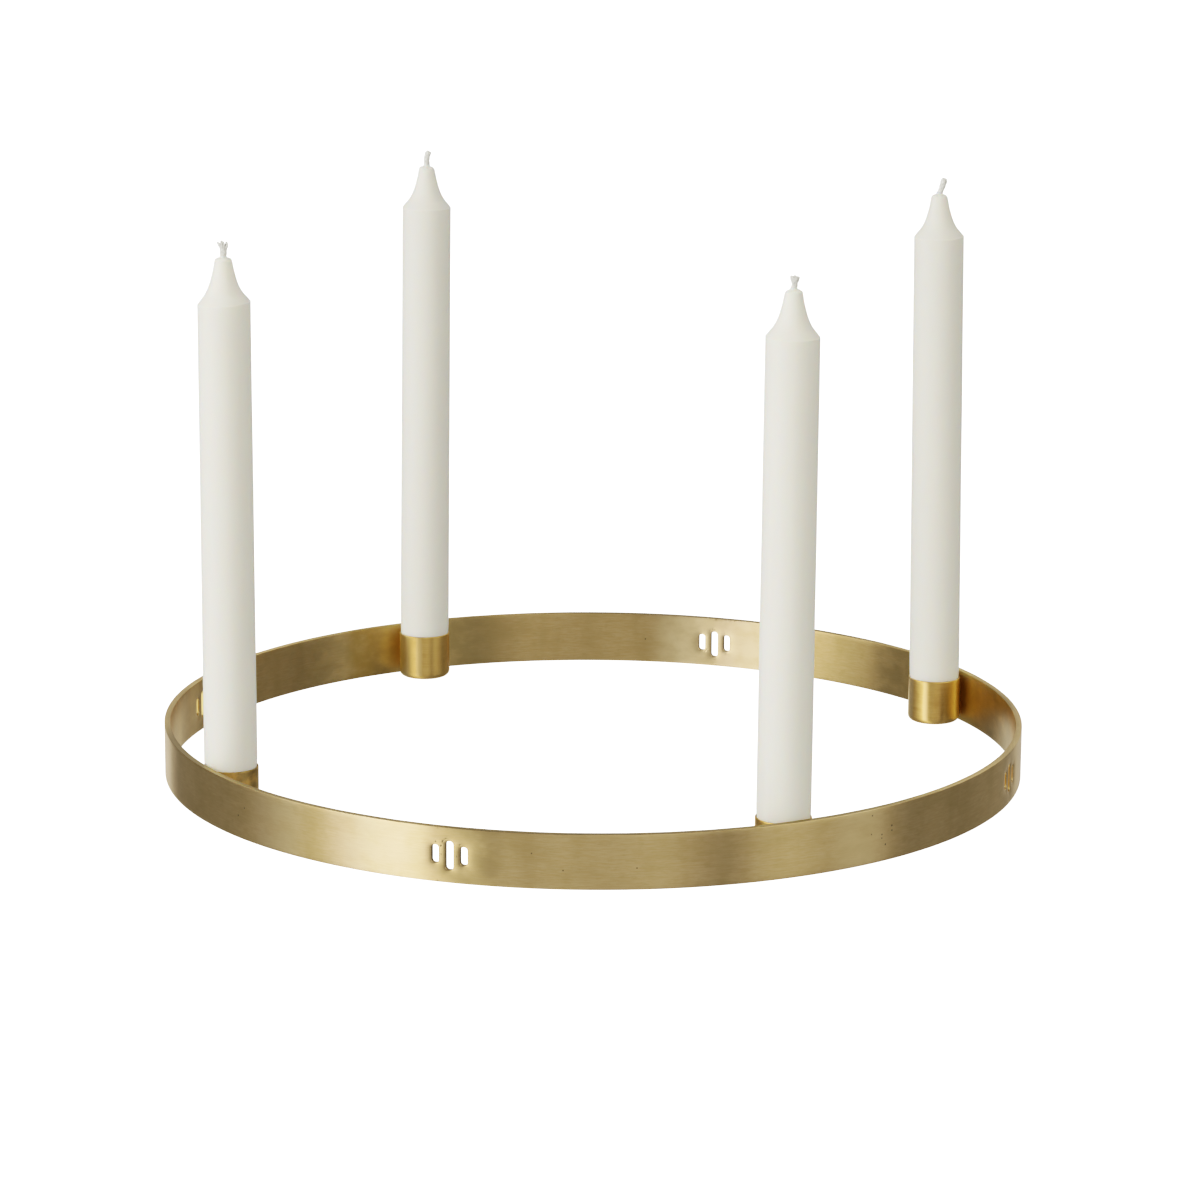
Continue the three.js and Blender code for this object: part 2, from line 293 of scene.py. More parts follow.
def band_material():
    mat, g, bsdf = new_material("brushed_band_brass")
    grain = g.attribute()
    s, z, side = g.split(grain)
    fine = g.noise(g.scale(grain, 0.22, 1.9, 3.0), detail=3.0, rough=0.6)
    medium = g.noise(g.scale(grain, 0.055, 0.8, 3.0, (31, 5, 2)), detail=3.0, rough=0.6)
    patches = g.noise(g.scale(grain, 0.050, 0.10, 3.0, (7, 3, 1)), detail=3.0, rough=0.5, distort=0.2)
    clouds = g.noise(g.scale(grain, 0.22, 0.30, 3.0, (2, 9, 4)), detail=5.0, rough=0.6)
    columns = g.noise(g.scale(grain, 0.085, 0.022, 3.0, (6, 2, 5)), detail=2.0, rough=0.5)
    streak = g.math("ADD", g.math("MULTIPLY", fine, 0.65), g.math("MULTIPLY", medium, 0.35))
    colour = g.mix(g.ramp(streak, 0.36, 0.66), BAND_BASE, BAND_PALE)
    colour = g.mix(g.math("MULTIPLY", g.ramp(patches, 0.42, 0.78), 0.5), colour, BAND_OLIVE)
    colour = g.mix(g.math("MULTIPLY", g.ramp(clouds, 0.50, 0.74), 0.34), colour, BAND_OLIVE)
    # painted shade: soft upright columns of darker tone, standing for the shade bands of the bent strip
    colour = g.mix(g.math("MULTIPLY", g.ramp(columns, 0.48, 0.70), 0.35), colour, BAND_OLIVE)
    # warm tint of the brazing heat beside the cups, together with painted shade: the darker tone is laid mostly on the
    # inner face, where shade falls between cup and band
    tint = close = None
    for place in PLACES.values():
        centre = math.radians((place["az"] - SEAM_AZIMUTH) % 360.0) * RING_MID_R
        if centre < 1.0:
            centre = 0.0
        gap = g.math("ABSOLUTE", g.math("WRAP", g.math("SUBTRACT", s, centre), TAU * RING_MID_R / 2, -TAU * RING_MID_R / 2))
        here = g.ramp(gap, 9.0, 52.0, 1.0, 0.0)
        tint = here if tint is None else g.math("MAXIMUM", tint, here)
        here = g.ramp(gap, 9.0, 20.0, 1.0, 0.0)
        close = here if close is None else g.math("MAXIMUM", close, here)
    ragged = g.ramp(g.noise(g.scale(grain, 0.10, 0.16, 3.0, (4, 1, 8)), detail=3.0), 0.30, 0.62, 0.55, 1.0)
    amount = g.math("MULTIPLY", tint, ragged)
    amount = g.math("MULTIPLY", amount, g.ramp(side, 0.0, 1.0, 0.15, 0.80, soft=False))
    colour = g.mix(amount, colour, HEAT_TINT_AND_SHADE)
    # painted light in the narrow gap behind each cup, on the inner face
    colour = g.mix(g.math("MULTIPLY", close, g.math("MULTIPLY", side, 0.85)), colour, GAP_PAINTED_LIGHT)
    # tarnish and painted shade laid along the strip
    for which, along, half, strength in TARNISH_AND_SHADE:
        here = g.ramp(g.math("ABSOLUTE", g.math("SUBTRACT", s, along)), half * 0.25, half, 1.0, 0.0)
        flank = side if which else g.math("SUBTRACT", 1.0, side)
        here = g.math("MULTIPLY", g.math("MULTIPLY", here, flank), g.math("MULTIPLY", ragged, strength))
        colour = g.mix(here, colour, (0.38, 0.285, 0.125, 1.0))
    # painted highlights, painted reflections and painted shade along the strip
    for which, along, half, strength, tone in PAINTED_LIGHT_AND_SHADE:
        here = g.ramp(g.math("ABSOLUTE", g.math("SUBTRACT", s, along)), half * 0.25, half, 1.0, 0.0)
        flank = side if which else g.math("SUBTRACT", 1.0, side)
        here = g.math("MULTIPLY", g.math("MULTIPLY", here, flank), g.math("MULTIPLY", ragged, strength))
        colour = g.mix(here, colour, tone)
    # painted shade over the whole inner face
    colour = g.mix(side, colour, g.mix(1.0, colour, INSIDE_PAINTED_SHADE, "MULTIPLY"))
    # cut faces inside the slots carry painted shade, dark, in the groups at 72 and 252 degrees, and painted light,
    # bright gold, in the others; the value is highest midway between the two faces
    cut = g.ramp(g.math("MULTIPLY", side, g.math("SUBTRACT", 1.0, side)), 0.03, 0.12)
    cut = g.math("MULTIPLY", cut, g.math("MULTIPLY", g.ramp(z, 1.5, 2.5), g.ramp(z, 18.5, 19.5, 1.0, 0.0)))
    shaded_slot_walls = None
    for az in SLOT_AZIMUTHS:
        centre = math.radians((az - SEAM_AZIMUTH) % 360.0) * RING_MID_R
        if az in SLOT_NUDGE:
            here = g.ramp(g.math("ABSOLUTE", g.math("SUBTRACT", s, centre)), 12.0, 14.0, 1.0, 0.0)
            shaded_slot_walls = here if shaded_slot_walls is None else g.math("MAXIMUM", shaded_slot_walls, here)
    wall = g.mix(shaded_slot_walls, (0.96, 0.72, 0.27, 1.0), (0.20, 0.14, 0.06, 1.0))
    colour = g.mix(g.math("MULTIPLY", cut, 0.85), colour, wall)
    # painted shade: the upper edge is painted darker along the front and the back
    rim = g.math("MULTIPLY", g.ramp(s, 205.0, 235.0), g.ramp(s, 585.0, 650.0, 1.0, 0.0))
    rim = g.math("MAXIMUM", rim, g.math("MULTIPLY", g.ramp(s, 850.0, 890.0), g.ramp(s, 1000.0, 1050.0, 1.0, 0.0)))
    rim = g.math("MULTIPLY", rim, g.ramp(z, RING_HEIGHT - 0.22, RING_HEIGHT - 0.04))
    colour = g.mix(g.math("MULTIPLY", rim, 0.72), colour, (0.24, 0.18, 0.075, 1.0))
    pits = None
    for which, along, up, radius in PITS:
        ds, dz = g.math("SUBTRACT", s, along), g.math("SUBTRACT", z, up)
        gap = g.math("SQRT", g.math("ADD", g.math("MULTIPLY", ds, ds), g.math("MULTIPLY", dz, dz)))
        gap = g.math("ADD", gap, g.math("MULTIPLY", g.math("ABSOLUTE", g.math("SUBTRACT", side, float(which))), 9.0))
        here = g.ramp(gap, radius * 0.5, radius * 1.25, 1.0, 0.0)
        pits = here if pits is None else g.math("MAXIMUM", pits, here)
    colour = g.mix(g.math("MULTIPLY", pits, 0.72), colour, (0.10, 0.065, 0.03, 1.0))
    g.put(bsdf.inputs["Base Color"], colour)
    rough = g.math("ADD", g.math("MULTIPLY", streak, 0.12), 0.235)
    rough = g.math("ADD", rough, g.math("MULTIPLY", patches, 0.05))
    rough = g.math("ADD", rough, g.math("MULTIPLY", g.math("MULTIPLY", amount, side), 0.22))
    g.put(bsdf.inputs["Roughness"], rough)
    height = g.math("ADD", g.math("MULTIPLY", fine, 0.7), g.math("MULTIPLY", clouds, 0.5))
    g.put(bsdf.inputs["Normal"], g.bump(height, 0.20, 0.00002))
    bsdf.inputs["Metallic"].default_value = 1.0
    bsdf.inputs["Specular Tint"].default_value = (1.0, 0.95, 0.84, 1.0)
    bsdf.inputs["Anisotropic"].default_value = 0.80
    bsdf.inputs["Anisotropic Rotation"].default_value = 0.25
    g.put(bsdf.inputs["Tangent"], tangent_down(g))
    return mat


def cup_material(name, dull):
    mat, g, bsdf = new_material("turned_cup_brass_" + name)
    grain = g.attribute()
    fine = g.noise(g.scale(grain, 0.09, 1.7, 0.26), detail=3.0, rough=0.6)
    patches = g.noise(g.scale(grain, 0.13, 0.18, 0.37, (5, 2, 9)), detail=3.0, rough=0.5, distort=0.2)
    colour = g.mix(g.ramp(fine, 0.34, 0.68), CUP_BASE, CUP_PALE)
    colour = g.mix(g.math("MULTIPLY", g.ramp(patches, 0.48, 0.76), 0.45), colour, (0.62, 0.36, 0.09, 1.0))
    if dull:
        smoke = g.noise(g.scale(grain, 0.22, 0.30, 0.8, (8, 1, 3)), detail=2.0, rough=0.45)
        colour = g.mix(g.math("MULTIPLY", g.ramp(smoke, 0.16, 0.72), dull), colour, (0.34, 0.235, 0.085, 1.0))
    x, y, _ = g.split(g.node("ShaderNodeTexCoord").outputs["Object"])
    reach = g.math("SQRT", g.math("ADD", g.math("MULTIPLY", x, x), g.math("MULTIPLY", y, y)))
    # painted light: the side of each cup that faces the band, in the narrow gap, is painted paler to lift the shade
    # there
    colour = g.mix(g.math("MULTIPLY", g.ramp(reach, 0.162, 0.170), 0.9 - 0.5 * dull), colour, (0.975, 0.680, 0.240, 1.0))
    # Painted highlights and painted shade on the flanks of the back cups: paler stripes where light is painted, browner
    # stripes where shade is painted.
    az = math.radians(PLACES[name]["az"])
    centre = (CUP_CENTRE_R * math.cos(az) * MM, CUP_CENTRE_R * math.sin(az) * MM)
    for side_az, width, strength, tone in CUP_PAINTED_LIGHT_AND_SHADE.get(name, ()):
        a = math.radians(side_az)
        along_x = g.math("MULTIPLY", g.math("SUBTRACT", x, centre[0]), math.cos(a) / (CUP_OUTER_R * MM))
        along_y = g.math("MULTIPLY", g.math("SUBTRACT", y, centre[1]), math.sin(a) / (CUP_OUTER_R * MM))
        mask = g.ramp(g.math("ADD", along_x, along_y), math.cos(math.radians(width)),
                      math.cos(math.radians(0.3 * width)))
        colour = g.mix(g.math("MULTIPLY", mask, strength), colour, tone)
    g.put(bsdf.inputs["Base Color"], colour)
    g.put(bsdf.inputs["Roughness"], g.math("ADD", g.math("MULTIPLY", fine, 0.12), PLACES[name].get("satin", 0.28)))
    g.put(bsdf.inputs["Normal"], g.bump(fine, 0.05, 0.00002))
    bsdf.inputs["Metallic"].default_value = 1.0
    bsdf.inputs["Specular Tint"].default_value = (1.0, 0.95, 0.84, 1.0)
    bsdf.inputs["Anisotropic"].default_value = 0.70
    bsdf.inputs["Anisotropic Rotation"].default_value = 0.25
    g.put(bsdf.inputs["Tangent"], tangent_down(g))
    return mat


def braze_material():
    mat, g, bsdf = new_material("braze_filler_metal")
    grain = g.attribute()
    lumps = g.noise(g.scale(grain, 0.7, 0.7, 0.7), detail=4.0, rough=0.6)
    specks = g.noise(g.scale(grain, 3.5, 3.5, 3.5, (3, 3, 3)), detail=2.0)
    colour = g.mix(g.ramp(lumps, 0.35, 0.65), (0.52, 0.33, 0.115, 1.0), (0.34, 0.20, 0.07, 1.0))
    colour = g.mix(g.math("MULTIPLY", g.ramp(specks, 0.55, 0.75), 0.5), colour, (0.70, 0.52, 0.22, 1.0))
    g.put(bsdf.inputs["Base Color"], colour)
    g.put(bsdf.inputs["Roughness"], g.math("ADD", g.math("MULTIPLY", specks, 0.25), 0.35))
    g.put(bsdf.inputs["Normal"], g.bump(g.math("ADD", lumps, g.math("MULTIPLY", specks, 0.3)), 0.5, 0.00008))
    bsdf.inputs["Metallic"].default_value = 1.0
    return mat


def wax_material():
    mat, g, bsdf = new_material("candle_wax_ivory")
    grain = g.attribute()
    soft = g.noise(g.scale(grain, 0.05, 0.02, 1.0), detail=3.0, rough=0.5)
    fine = g.noise(g.scale(grain, 0.9, 0.35, 1.0, (2, 7, 3)), detail=3.0, rough=0.6)
    colour = g.mix(soft, (0.850, 0.828, 0.735, 1.0), (0.880, 0.862, 0.780, 1.0))
    _, y, _ = g.split(g.node("ShaderNodeTexCoord").outputs["Object"])
    colour = g.mix(g.ramp(y, -0.04, 0.05), colour, (0.820, 0.802, 0.722, 1.0))      # painted shade: the pair at the back is painted darker
    g.put(bsdf.inputs["Base Color"], colour)
    g.put(bsdf.inputs["Roughness"], g.math("ADD", g.math("MULTIPLY", fine, 0.14), 0.40))
    height = g.math("ADD", g.math("MULTIPLY", fine, 0.5), g.math("MULTIPLY", soft, 0.8))
    g.put(bsdf.inputs["Normal"], g.bump(height, 0.10, 0.0001))
    bsdf.inputs["Subsurface Weight"].default_value = 0.55
    bsdf.inputs["Subsurface Radius"].default_value = (1.0, 0.70, 0.42)
    bsdf.inputs["Subsurface Scale"].default_value = 0.0045
    bsdf.inputs["IOR"].default_value = 1.44
    bsdf.inputs["Specular IOR Level"].default_value = 0.35
    return mat


def wick_material():
    mat, g, bsdf = new_material("wick_cotton_braid")
    grain = g.attribute()
    fibres = g.noise(g.scale(grain, 2.6, 0.5, 2.6), detail=3.0, rough=0.6)
    dirt = g.noise(g.scale(grain, 0.5, 0.5, 0.5, (1, 4, 2)), detail=2.0)
    colour = g.mix(g.ramp(fibres, 0.32, 0.68), (0.635, 0.625, 0.575, 1.0), (0.84, 0.835, 0.795, 1.0))
    colour = g.mix(g.math("MULTIPLY", g.ramp(dirt, 0.5, 0.8), 0.35), colour, (0.50, 0.48, 0.42, 1.0))
    g.put(bsdf.inputs["Base Color"], colour)
    bsdf.inputs["Roughness"].default_value = 0.85
    g.put(bsdf.inputs["Normal"], g.bump(fibres, 0.6, 0.00006))
    bsdf.inputs["Sheen Weight"].default_value = 0.3
    bsdf.inputs["Sheen Roughness"].default_value = 0.5
    bsdf.inputs["Specular IOR Level"].default_value = 0.25
    return mat


BAND_BRASS = band_material()
CUP_BRASS = {name: cup_material(name, place.get("dull", 0.0)) for name, place in PLACES.items()}
BRAZE_METAL = braze_material()
WAX = wax_material()
COTTON = wick_material()


# ---------------------------------------------------------------- band
def rounding(distance, radius):
    if distance >= radius:
        return 0.0
    k = radius - max(distance, 0.0)
    return radius - math.sqrt(max(radius * radius - k * k, 0.0))


def rounded_rect(width, height, corner, grow, count):
    """Points anticlockwise round a rounded rectangle grown outward by grow."""
    hw, hh = width / 2 - corner, height / 2 - corner
    c = corner + grow
    corners = ((hw, hh, 0.0), (-hw, hh, 0.25), (-hw, -hh, 0.5), (hw, -hh, 0.75))
    side_x, side_y = 2 * hw, 2 * hh
    arc = TAU / 4 * corner
    total = 2 * side_x + 2 * side_y + 4 * arc
    points = []
    for i in range(count):
        d = total * i / count
        # walk: right side up, corner, top, corner, left side, corner, bottom, corner
        legs = ((side_y, "R"), (arc, 0), (side_x, "T"), (arc, 1), (side_y, "L"), (arc, 2), (side_x, "B"), (arc, 3))
        for length, leg in legs:
            if d <= length or leg == 3:
                break
            d -= length
        if leg == "R":
            points.append((hw + c, -hh + d))
        elif leg == "T":
            points.append((hw - d, hh + c))
        elif leg == "L":
            points.append((-hw - c, hh - d))
        elif leg == "B":
            points.append((-hw + d, -hh - c))
        else:
            cx, cy, turn = corners[leg]
            a = TAU * turn + min(d / arc, 1.0) * TAU / 4
            points.append((cx + c * math.cos(a), cy + c * math.sin(a)))
    return points


def rect_distance(x, y, width, height, corner):
    qx, qy = abs(x) - width / 2 + corner, abs(y) - height / 2 + corner
    return math.hypot(max(qx, 0), max(qy, 0)) + min(max(qx, qy), 0) - corner


def slot_list():
    out = []
    for az in SLOT_AZIMUTHS:
        centre = math.radians((az - SEAM_AZIMUTH) % 360.0) * RING_MID_R
        nudge = SLOT_NUDGE.get(az, ((0.0, 0.0),) * 3)
        group = []
        for (width, height, corner, level), step, (along, up) in zip((SLOT_TALL, SLOT_SHORT, SLOT_SHORT), (0, -1, 1), nudge):
            group.append((centre + step * SLOT_PITCH + along, width, height, corner, level + up))
        out.append((centre, group))
    return out


def build_band():
    length = TAU * RING_MID_R
    start, end = SEAM_WIDTH / 2, length - SEAM_WIDTH / 2
    turns = [rounding_step * math.pi / 12 for rounding_step in range(7)]
    edge_rows = [RING_EDGE_R * (1 - math.cos(a)) for a in turns]
    inner_rows = [lerp(RING_EDGE_R, RING_HEIGHT - RING_EDGE_R, k / RING_ROWS) for k in range(1, RING_ROWS)]
    rows = edge_rows + inner_rows + [RING_HEIGHT - d for d in reversed(edge_rows)]
    middle = [RING_EDGE_R] + inner_rows + [RING_HEIGHT - RING_EDGE_R]

    index, flat, faces = {}, [], []

    def at(s, z):
        key = (round(s, 4), round(z, 4))
        if key not in index:
            index[key] = len(flat)
            flat.append((s, z))
        return index[key]

    def grid(columns, levels):
        for a, b in zip(columns, columns[1:]):
            for c, d in zip(levels, levels[1:]):
                faces.append((at(a, c), at(b, c), at(b, d), at(a, d)))

    groups = sorted(slot_list(), key=lambda group: group[0])
    cursor = start
    spans = []
    for centre, slots in groups:
        spans.append((cursor, centre - SLOT_BLOCK))
        cursor = centre + SLOT_BLOCK
    spans.append((cursor, end))
    for a, b in spans:
        count = max(2, round((b - a) / RING_COLUMN))
        grid([lerp(a, b, k / count) for k in range(count + 1)], rows)

    grow = [SLOT_EDGE_R * (1 - math.cos(a * math.pi / 10)) for a in range(6)] + [0.6, 0.82, 1.05]
    for centre, slots in groups:
        left, right = centre - SLOT_BLOCK, centre + SLOT_BLOCK
        count = round((right - left) / 0.7)
        columns = [lerp(left, right, k / count) for k in range(count + 1)]
        grid(columns, edge_rows)
        grid(columns, [RING_HEIGHT - d for d in reversed(edge_rows)])
        holes = []
        for s0, width, height, corner, z0 in slots:
            steps = 4 * round((2 * (width + height) - 1.7 * corner) / 0.36 / 4)
            loops = [[(s0 + x, z0 + y) for x, y in rounded_rect(width, height, corner, d, steps)] for d in grow]
            for near, far in zip(loops, loops[1:]):
                for k in range(steps):
                    m = (k + 1) % steps
                    faces.append((at(*near[k]), at(*far[k]), at(*far[m]), at(*near[m])))
            holes.append((loops[-1], s0, width, height, corner, z0))
        points, edges = [], []

        def chain(loop):
            first = len(points)
            points.extend(loop)
            edges.extend((first + k, first + (k + 1) % len(loop)) for k in range(len(loop)))

        border = [(s, middle[0]) for s in columns]
        border += [(right, z) for z in middle[1:]]
        border += [(s, middle[-1]) for s in reversed(columns[:-1])]
        border += [(left, z) for z in reversed(middle[1:-1])]
        chain(border)
        for loop, *_ in holes:
            chain(loop)
        across, up = 28, 22
        for i in range(1, across):
            for j in range(1, up):
                s = lerp(left, right, (i + (0.5 if j % 2 else 0.0)) / across)
                z = lerp(middle[0], middle[-1], j / up)
                clear = min(rect_distance(s - s0, z - z0, w, h, c) for _, s0, w, h, c, z0 in holes)
                if clear > 1.05 + 0.3 and left + 0.4 < s < right - 0.4:
                    points.append((s, z))
        verts, _, tris, *_ = geometry.delaunay_2d_cdt([Vector(p) for p in points], edges, [], 0, 1e-7)
        for tri in tris:
            cx = sum(verts[k][0] for k in tri) / 3
            cz = sum(verts[k][1] for k in tri) / 3
            if any(rect_distance(cx - s0, cz - z0, w, h, c) < 1.05 - 0.02 for _, s0, w, h, c, z0 in holes):
                continue
            a, b, c = (verts[k] for k in tri)
            area = (b[0] - a[0]) * (c[1] - a[1]) - (b[1] - a[1]) * (c[0] - a[0])
            if abs(area) < 1e-7:
                continue
            ids = [at(v[0], v[1]) for v in (a, b, c)]
            faces.append(tuple(ids if area > 0 else reversed(ids)))

    all_slots = [slot for _, slots in groups for slot in slots]

    def depth(s, z):
        d = rounding(min(z, RING_HEIGHT - z), RING_EDGE_R)
        for s0, width, height, corner, z0 in all_slots:
            if abs(s - s0) < 6.0:
                gap = rect_distance(s - s0, z - z0, width, height, corner)
                d += rounding(gap, SLOT_EDGE_R) + SLOT_DISH * math.exp(-max(gap, 0.0) / SLOT_DISH_REACH)
        return d

    def wave(angle, z):
        x, y = math.cos(angle) * RING_MID_R, math.sin(angle) * RING_MID_R
        big = noise.noise(Vector((x / 46.0, y / 46.0, 0.3 + z / 60.0)))
        small = noise.noise(Vector((x / 15.0, y / 15.0, 5.3 + z / 18.0)))
        upright = noise.noise(Vector((x / 11.0, y / 11.0, 9.1 + z / 75.0)))
        return RING_WAVE * (0.5 + 0.5 * max(-1.0, min(1.0, big * 1.3))) + 0.014 * (1.0 + small) + 0.02 * (1.0 + upright)

    outer, inner, grain_o, grain_i = [], [], [], []
    for s, z in flat:
        angle = math.radians(SEAM_AZIMUTH) + s / RING_MID_R
        d, w = depth(s, z), wave(angle, z)
        edge = min(z, RING_HEIGHT - z)
        nick = 0.05 * noise.noise(Vector((s / 9.0, z / 30.0, 7.7))) * smooth(1.2, 0.0, edge)
        ro, ri = RING_OUTER_R - d - w, RING_INNER_R + d - w
        zz = min(RING_HEIGHT, max(0.0, z + (nick if z > 5 else 0.0)))
        outer.append((ro * math.cos(angle), ro * math.sin(angle), zz))
        inner.append((ri * math.cos(angle), ri * math.sin(angle), zz))
        grain_o.append((s, z, 0.0))
        grain_i.append((s, z, 1.0))
    n = len(flat)
    used = {}
    for f in faces:
        for a, b in zip(f, f[1:] + f[:1]):
            used[(a, b)] = used.get((a, b), 0) + 1
    sheet = list(faces) + [tuple(n + k for k in reversed(f)) for f in faces]
    for a, b in used:
        if (b, a) not in used:
            sheet.append((b, a, n + a, n + b))
    return outer + inner, sheet, grain_o + grain_i


verts, faces, grain = build_band()
band = new_piece("band_brushed", verts, faces, "holder", ["ring_band"], BAND_BRASS, grain)


def build_seam():
    """The thin run of filler that closes the strip into a ring."""
    half = SEAM_WIDTH / 2 + 0.03
    sections = []
    levels = [0.12 + (RING_HEIGHT - 0.24) * k / 60 for k in range(61)]
    for z in levels:
        rough = noise.noise(Vector((z / 1.7, 3.1, 0.4)))
        tight = 0.05 + 0.03 * rough + 0.25 * smooth(0.7, 0.0, min(z, RING_HEIGHT - z))
        row = []
        for k in range(9):
            t = k / 8 * 2 - 1
            crown = 0.035 * math.cos(t * math.pi / 2) * (1 + rough)
            row.append((t * half, RING_OUTER_R - 0.20 - tight + crown))
        for k in range(9):
            t = 1 - k / 8 * 2
            crown = 0.035 * math.cos(t * math.pi / 2) * (1 - rough)
            row.append((t * half, RING_INNER_R - 0.02 + tight - crown))
        sections.append((z, row))
    base = math.radians(SEAM_AZIMUTH)
    verts, grain, faces = [], [], []
    for z, row in sections:
        for t, r in row:
            a = base + t / RING_MID_R
            verts.append((r * math.cos(a), r * math.sin(a), z))
            grain.append((t, z, r))
    n = len(sections[0][1])
    for j in range(len(sections) - 1):
        for k in range(n):
            m = (k + 1) % n
            faces.append((j * n + m, j * n + k, (j + 1) * n + k, (j + 1) * n + m))
    faces.append(tuple(range(n)))
    faces.append(tuple((len(sections) - 1) * n + k for k in reversed(range(n))))
    return verts, faces, grain


verts, faces, grain = build_seam()
seam = new_piece("seam_filler", verts, faces, "holder", ["ring_seam_braze"], BRAZE_METAL, grain)


# ---------------------------------------------------------------- lathe
def lathe(profile, segments, place):
    """Turns (r, z) pairs, first and last on the axis; place(r, angle, z) gives the point and its grain."""
    verts, grain, faces = [], [], []
    p, g = place(0.0, 0.0, profile[0][1])
    verts.append(p)
    grain.append(g)
    rings = profile[1:-1]
    for r, z in rings:
        for k in range(segments):
            p, g = place(r, TAU * k / segments, z)
            verts.append(p)
            grain.append(g)
    p, g = place(0.0, 0.0, profile[-1][1])
    verts.append(p)
    grain.append(g)
    last = len(verts) - 1
    for k in range(segments):
        m = (k + 1) % segments
        faces.append((0, 1 + m, 1 + k))
        for j in range(len(rings) - 1):
            a, b = 1 + j * segments, 1 + (j + 1) * segments
            faces.append((a + k, a + m, b + m, b + k))
        a = 1 + (len(rings) - 1) * segments
        faces.append((a + k, a + m, last))
    return verts, faces, grain


def arc_points(cx, cy, radius, start, stop, steps):
    return [(cx + radius * math.cos(math.radians(lerp(start, stop, k / steps))),
             cy + radius * math.sin(math.radians(lerp(start, stop, k / steps)))) for k in range(steps + 1)]


# ---------------------------------------------------------------- cups
def build_cup(place):
    az = math.radians(place["az"])
    cx, cy = CUP_CENTRE_R * math.cos(az), CUP_CENTRE_R * math.sin(az)
    base = CUP_BASE_Z + place["lift"]
    R, r_in, top = CUP_OUTER_R, CUP_OUTER_R - CUP_WALL, base + CUP_HEIGHT + place.get("rise", 0.1)
    f = CUP_FILLET
    profile = [(0.0, base)] + [(R - f) * k / 5 and ((R - f) * k / 5, base) for k in range(1, 5)]
    profile += arc_points(R - f, base + f, f, -90, 0, 12)
    wall_top = top - 0.48
    profile += [(R, lerp(base + f, wall_top, k / 14)) for k in range(1, 15)]
    profile += [(R - 0.32 + 0.32 * math.cos(a * TAU / 28), wall_top + 0.48 * math.sin(a * TAU / 28)) for a in range(1, 8)]
    profile += arc_points(r_in + 0.12, top - 0.12, 0.12, 90, 180, 4)
    floor = base + CUP_FLOOR
    fi = f - CUP_WALL
    profile += [(r_in, lerp(top - 0.12, floor + fi, k / 10)) for k in range(1, 10)]
    profile += arc_points(r_in - fi, floor + fi, fi, 0, -90, 8)
    profile += [((r_in - fi) * (1 - k / 4), floor) for k in range(1, 4)]
    profile += [(0.0, floor)]

    def at(r, a, z):
        wob = 0.0
        if r > 6:
            wob = 0.035 * noise.noise(Vector((math.cos(a) * 1.6 + place["seed"], math.sin(a) * 1.6, z / 9.0)))
            wob -= 0.03
        rr = r + wob
        x, y = cx + rr * math.cos(a), cy + rr * math.sin(a)
        # the grain runs round the cup; its first value wraps on a small circle so it has no seam
        return (x, y, z), (CUP_OUTER_R * math.cos(a) + place["seed"] * 3, z, CUP_OUTER_R * math.sin(a) * 0.35)

    return lathe(profile, 128, at)


for name, place in PLACES.items():
    verts, faces, grain = build_cup(place)
    new_piece("cup_turned_" + name, verts, faces, "holder", ["cup_" + name], CUP_BRASS[name], grain)


# ---------------------------------------------------------------- brazed joints
def build_braze(place):
    az = math.radians(place["az"])
    base = CUP_BASE_Z + place["lift"]
    z0, z1 = base + BRAZE_BOTTOM, base + CUP_HEIGHT - BRAZE_TOP
    levels = 36
    R, ring = CUP_OUTER_R - 0.07, RING_INNER_R - 0.02
    rows = []
    for j in range(levels + 1):
        t = j / levels
        z = lerp(z0, z1, t)
        ends = min(t, 1 - t) * levels
        w_left = BRAZE_HALF_WIDTH + 0.35 * noise.noise(Vector((z / 2.6, place["seed"], 0.0)))
        w_right = BRAZE_HALF_WIDTH + 0.35 * noise.noise(Vector((z / 2.6, place["seed"], 9.0)))
        shrink = 1 - 0.55 * smooth(2.0, 0.0, ends)
        w_left *= shrink
        w_right *= shrink
        row = []
        # along the cup, from -w to +w
        for k in range(13):
            x = lerp(-w_left, w_right, k / 12)
            row.append((x, CUP_CENTRE_R + math.sqrt(R * R - x * x)))
        # concave face, cup to band, on the + side
        y_cup = CUP_CENTRE_R + math.sqrt(R * R - w_right * w_right)
        y_band = math.sqrt(ring * ring - w_right * w_right)
        for k in range(1, 6):
            u = k / 6
            bow = 0.42 * math.sin(math.pi * u) * shrink
            row.append((w_right + 0.25 * u - bow, lerp(y_cup, y_band, u)))
        for k in range(13):
            x = lerp(w_right + 0.25, -w_left - 0.25, k / 12)
            row.append((x, math.sqrt(ring * ring - x * x) + 0.10))
        y_cup = CUP_CENTRE_R + math.sqrt(R * R - w_left * w_left)
        y_band = math.sqrt(ring * ring - w_left * w_left)
        for k in range(1, 6):
            u = 1 - k / 6
            bow = 0.42 * math.sin(math.pi * u) * shrink
            row.append((-(w_left + 0.25 * u - bow), lerp(y_cup, y_band, u)))
        rows.append((z, row))
    verts, grain, faces = [], [], []
    for z, row in rows:
        for x, y in row:
            # x runs across the joint, y outward along the azimuth
            verts.append((y * math.cos(az) + x * math.sin(az), y * math.sin(az) - x * math.cos(az), z))
            grain.append((x + place["seed"], z, y))
    n = len(rows[0][1])
    for j in range(levels):
        for k in range(n):
            m = (k + 1) % n
            faces.append((j * n + k, j * n + m, (j + 1) * n + m, (j + 1) * n + k))
    faces.append(tuple(reversed(range(n))))
    faces.append(tuple(levels * n + k for k in range(n)))
    return verts, faces, grain


for name, place in PLACES.items():
    verts, faces, grain = build_braze(place)
    new_piece("braze_fillet_" + name, verts, faces, "holder", ["braze_joint_" + name], BRAZE_METAL, grain)


